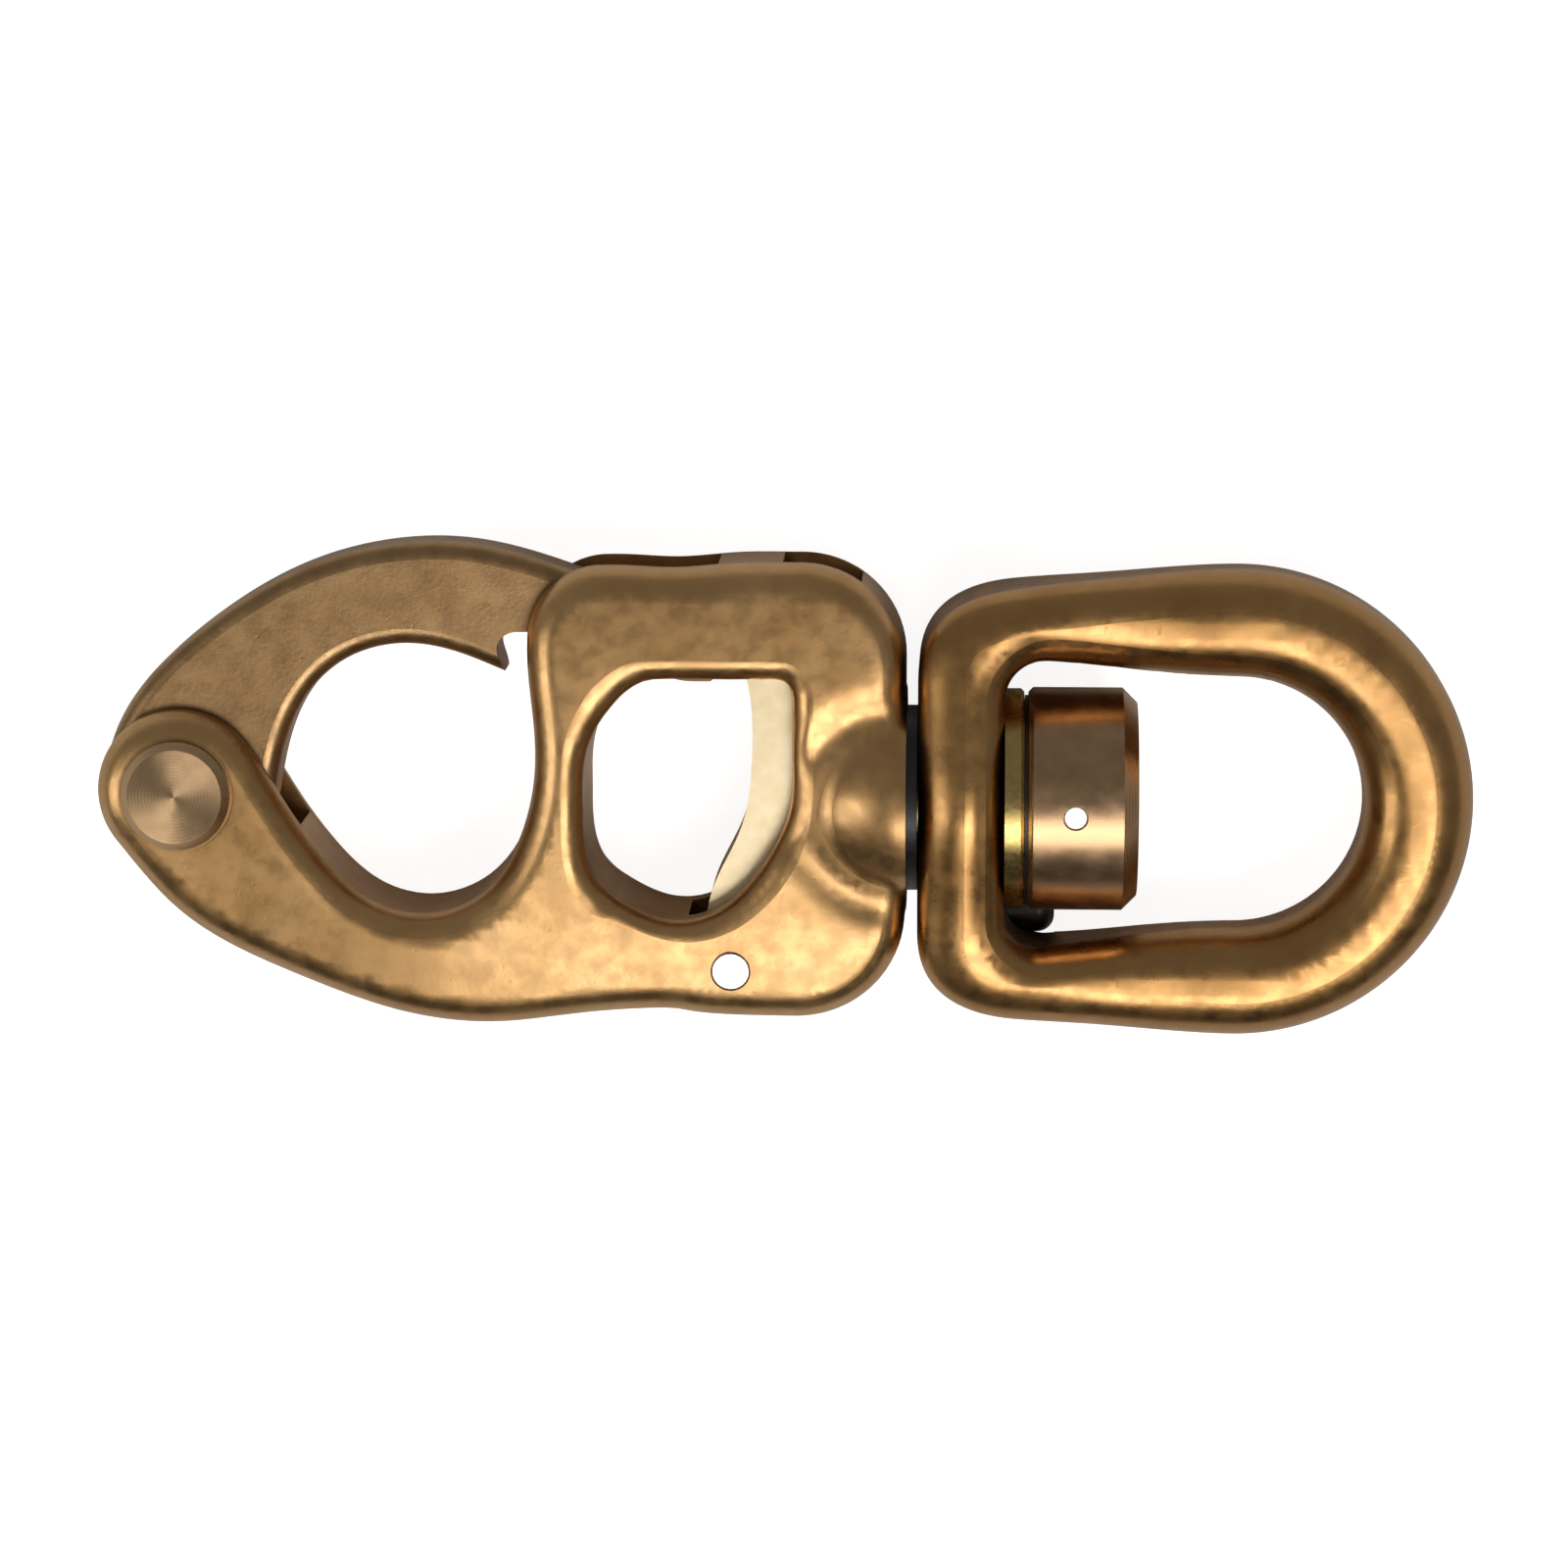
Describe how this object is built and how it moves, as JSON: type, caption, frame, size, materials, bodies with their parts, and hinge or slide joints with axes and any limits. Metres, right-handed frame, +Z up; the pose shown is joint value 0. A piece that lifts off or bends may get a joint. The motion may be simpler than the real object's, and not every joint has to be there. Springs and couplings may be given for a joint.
{
  "type": "trigger snap shackle",
  "caption": "Snap shackle with a hinged jaw, a sprung finger trigger that locks its tail, and a swivelling D bail.",
  "frame": {"origin": "centre of the bounding box in plan, on the table the shackle lies on", "axes": "+X along the shackle from the jaw to the bail, +Y across it to the jaw side, +Z up from the table"},
  "size_m": [0.1034, 0.0373, 0.0168],
  "materials": {
    "cast_bronze": "bronze-coloured coating on a polished steel casting",
    "jaw_bronze": "bronze-coloured coating, a little more matt",
    "bail_bronze": "bronze-coloured coating on polished steel",
    "turned_bronze": "bronze-coloured coating over fine turning marks",
    "trigger_gold": "light gold, milled flat sides",
    "bright_steel": "bare bright steel",
    "spring_steel": "drawn spring wire",
    "bush_brass": "turned brass",
    "black_polymer": "black bearing plastic",
    "black_rubber": "black rubber"
  },
  "bodies": {
    "body": {"body": "cast_bronze", "jaw_pin": "turned_bronze", "trigger_pin": "bright_steel", "trigger_spring": "spring_steel", "body_washer": "black_polymer", "nut_washer": "black_polymer", "swivel_nut": "turned_bronze", "nut_pin": "bright_steel"},
    "jaw": {"jaw": "jaw_bronze"},
    "trigger": {"trigger": "trigger_gold"},
    "bail": {"bail": "bail_bronze", "bail_bush": "bush_brass", "bail_plug": "black_rubber"}
  },
  "joints": [
    {"name": "jaw_pivot", "type": "hinge", "parent": "body", "child": "jaw", "pos_m": [-0.0454, -0.0002, 0.0084], "axis": [0, 0, 1], "range_deg": [0, 110]},
    {"name": "trigger_pivot", "type": "hinge", "parent": "body", "child": "trigger", "pos_m": [-0.0038, -0.0133, 0.0084], "axis": [0, 0, 1], "range_deg": [-8.5, 0], "stiffness_Nm_per_rad": 0.08, "springref_deg": 20.05, "deforming": ["trigger_spring"]},
    {"name": "bail_swivel", "type": "hinge", "parent": "body", "child": "bail", "pos_m": [0.0134, -0.00095, 0.0084], "axis": [1, 0, 0], "continuous": true}
  ]
}
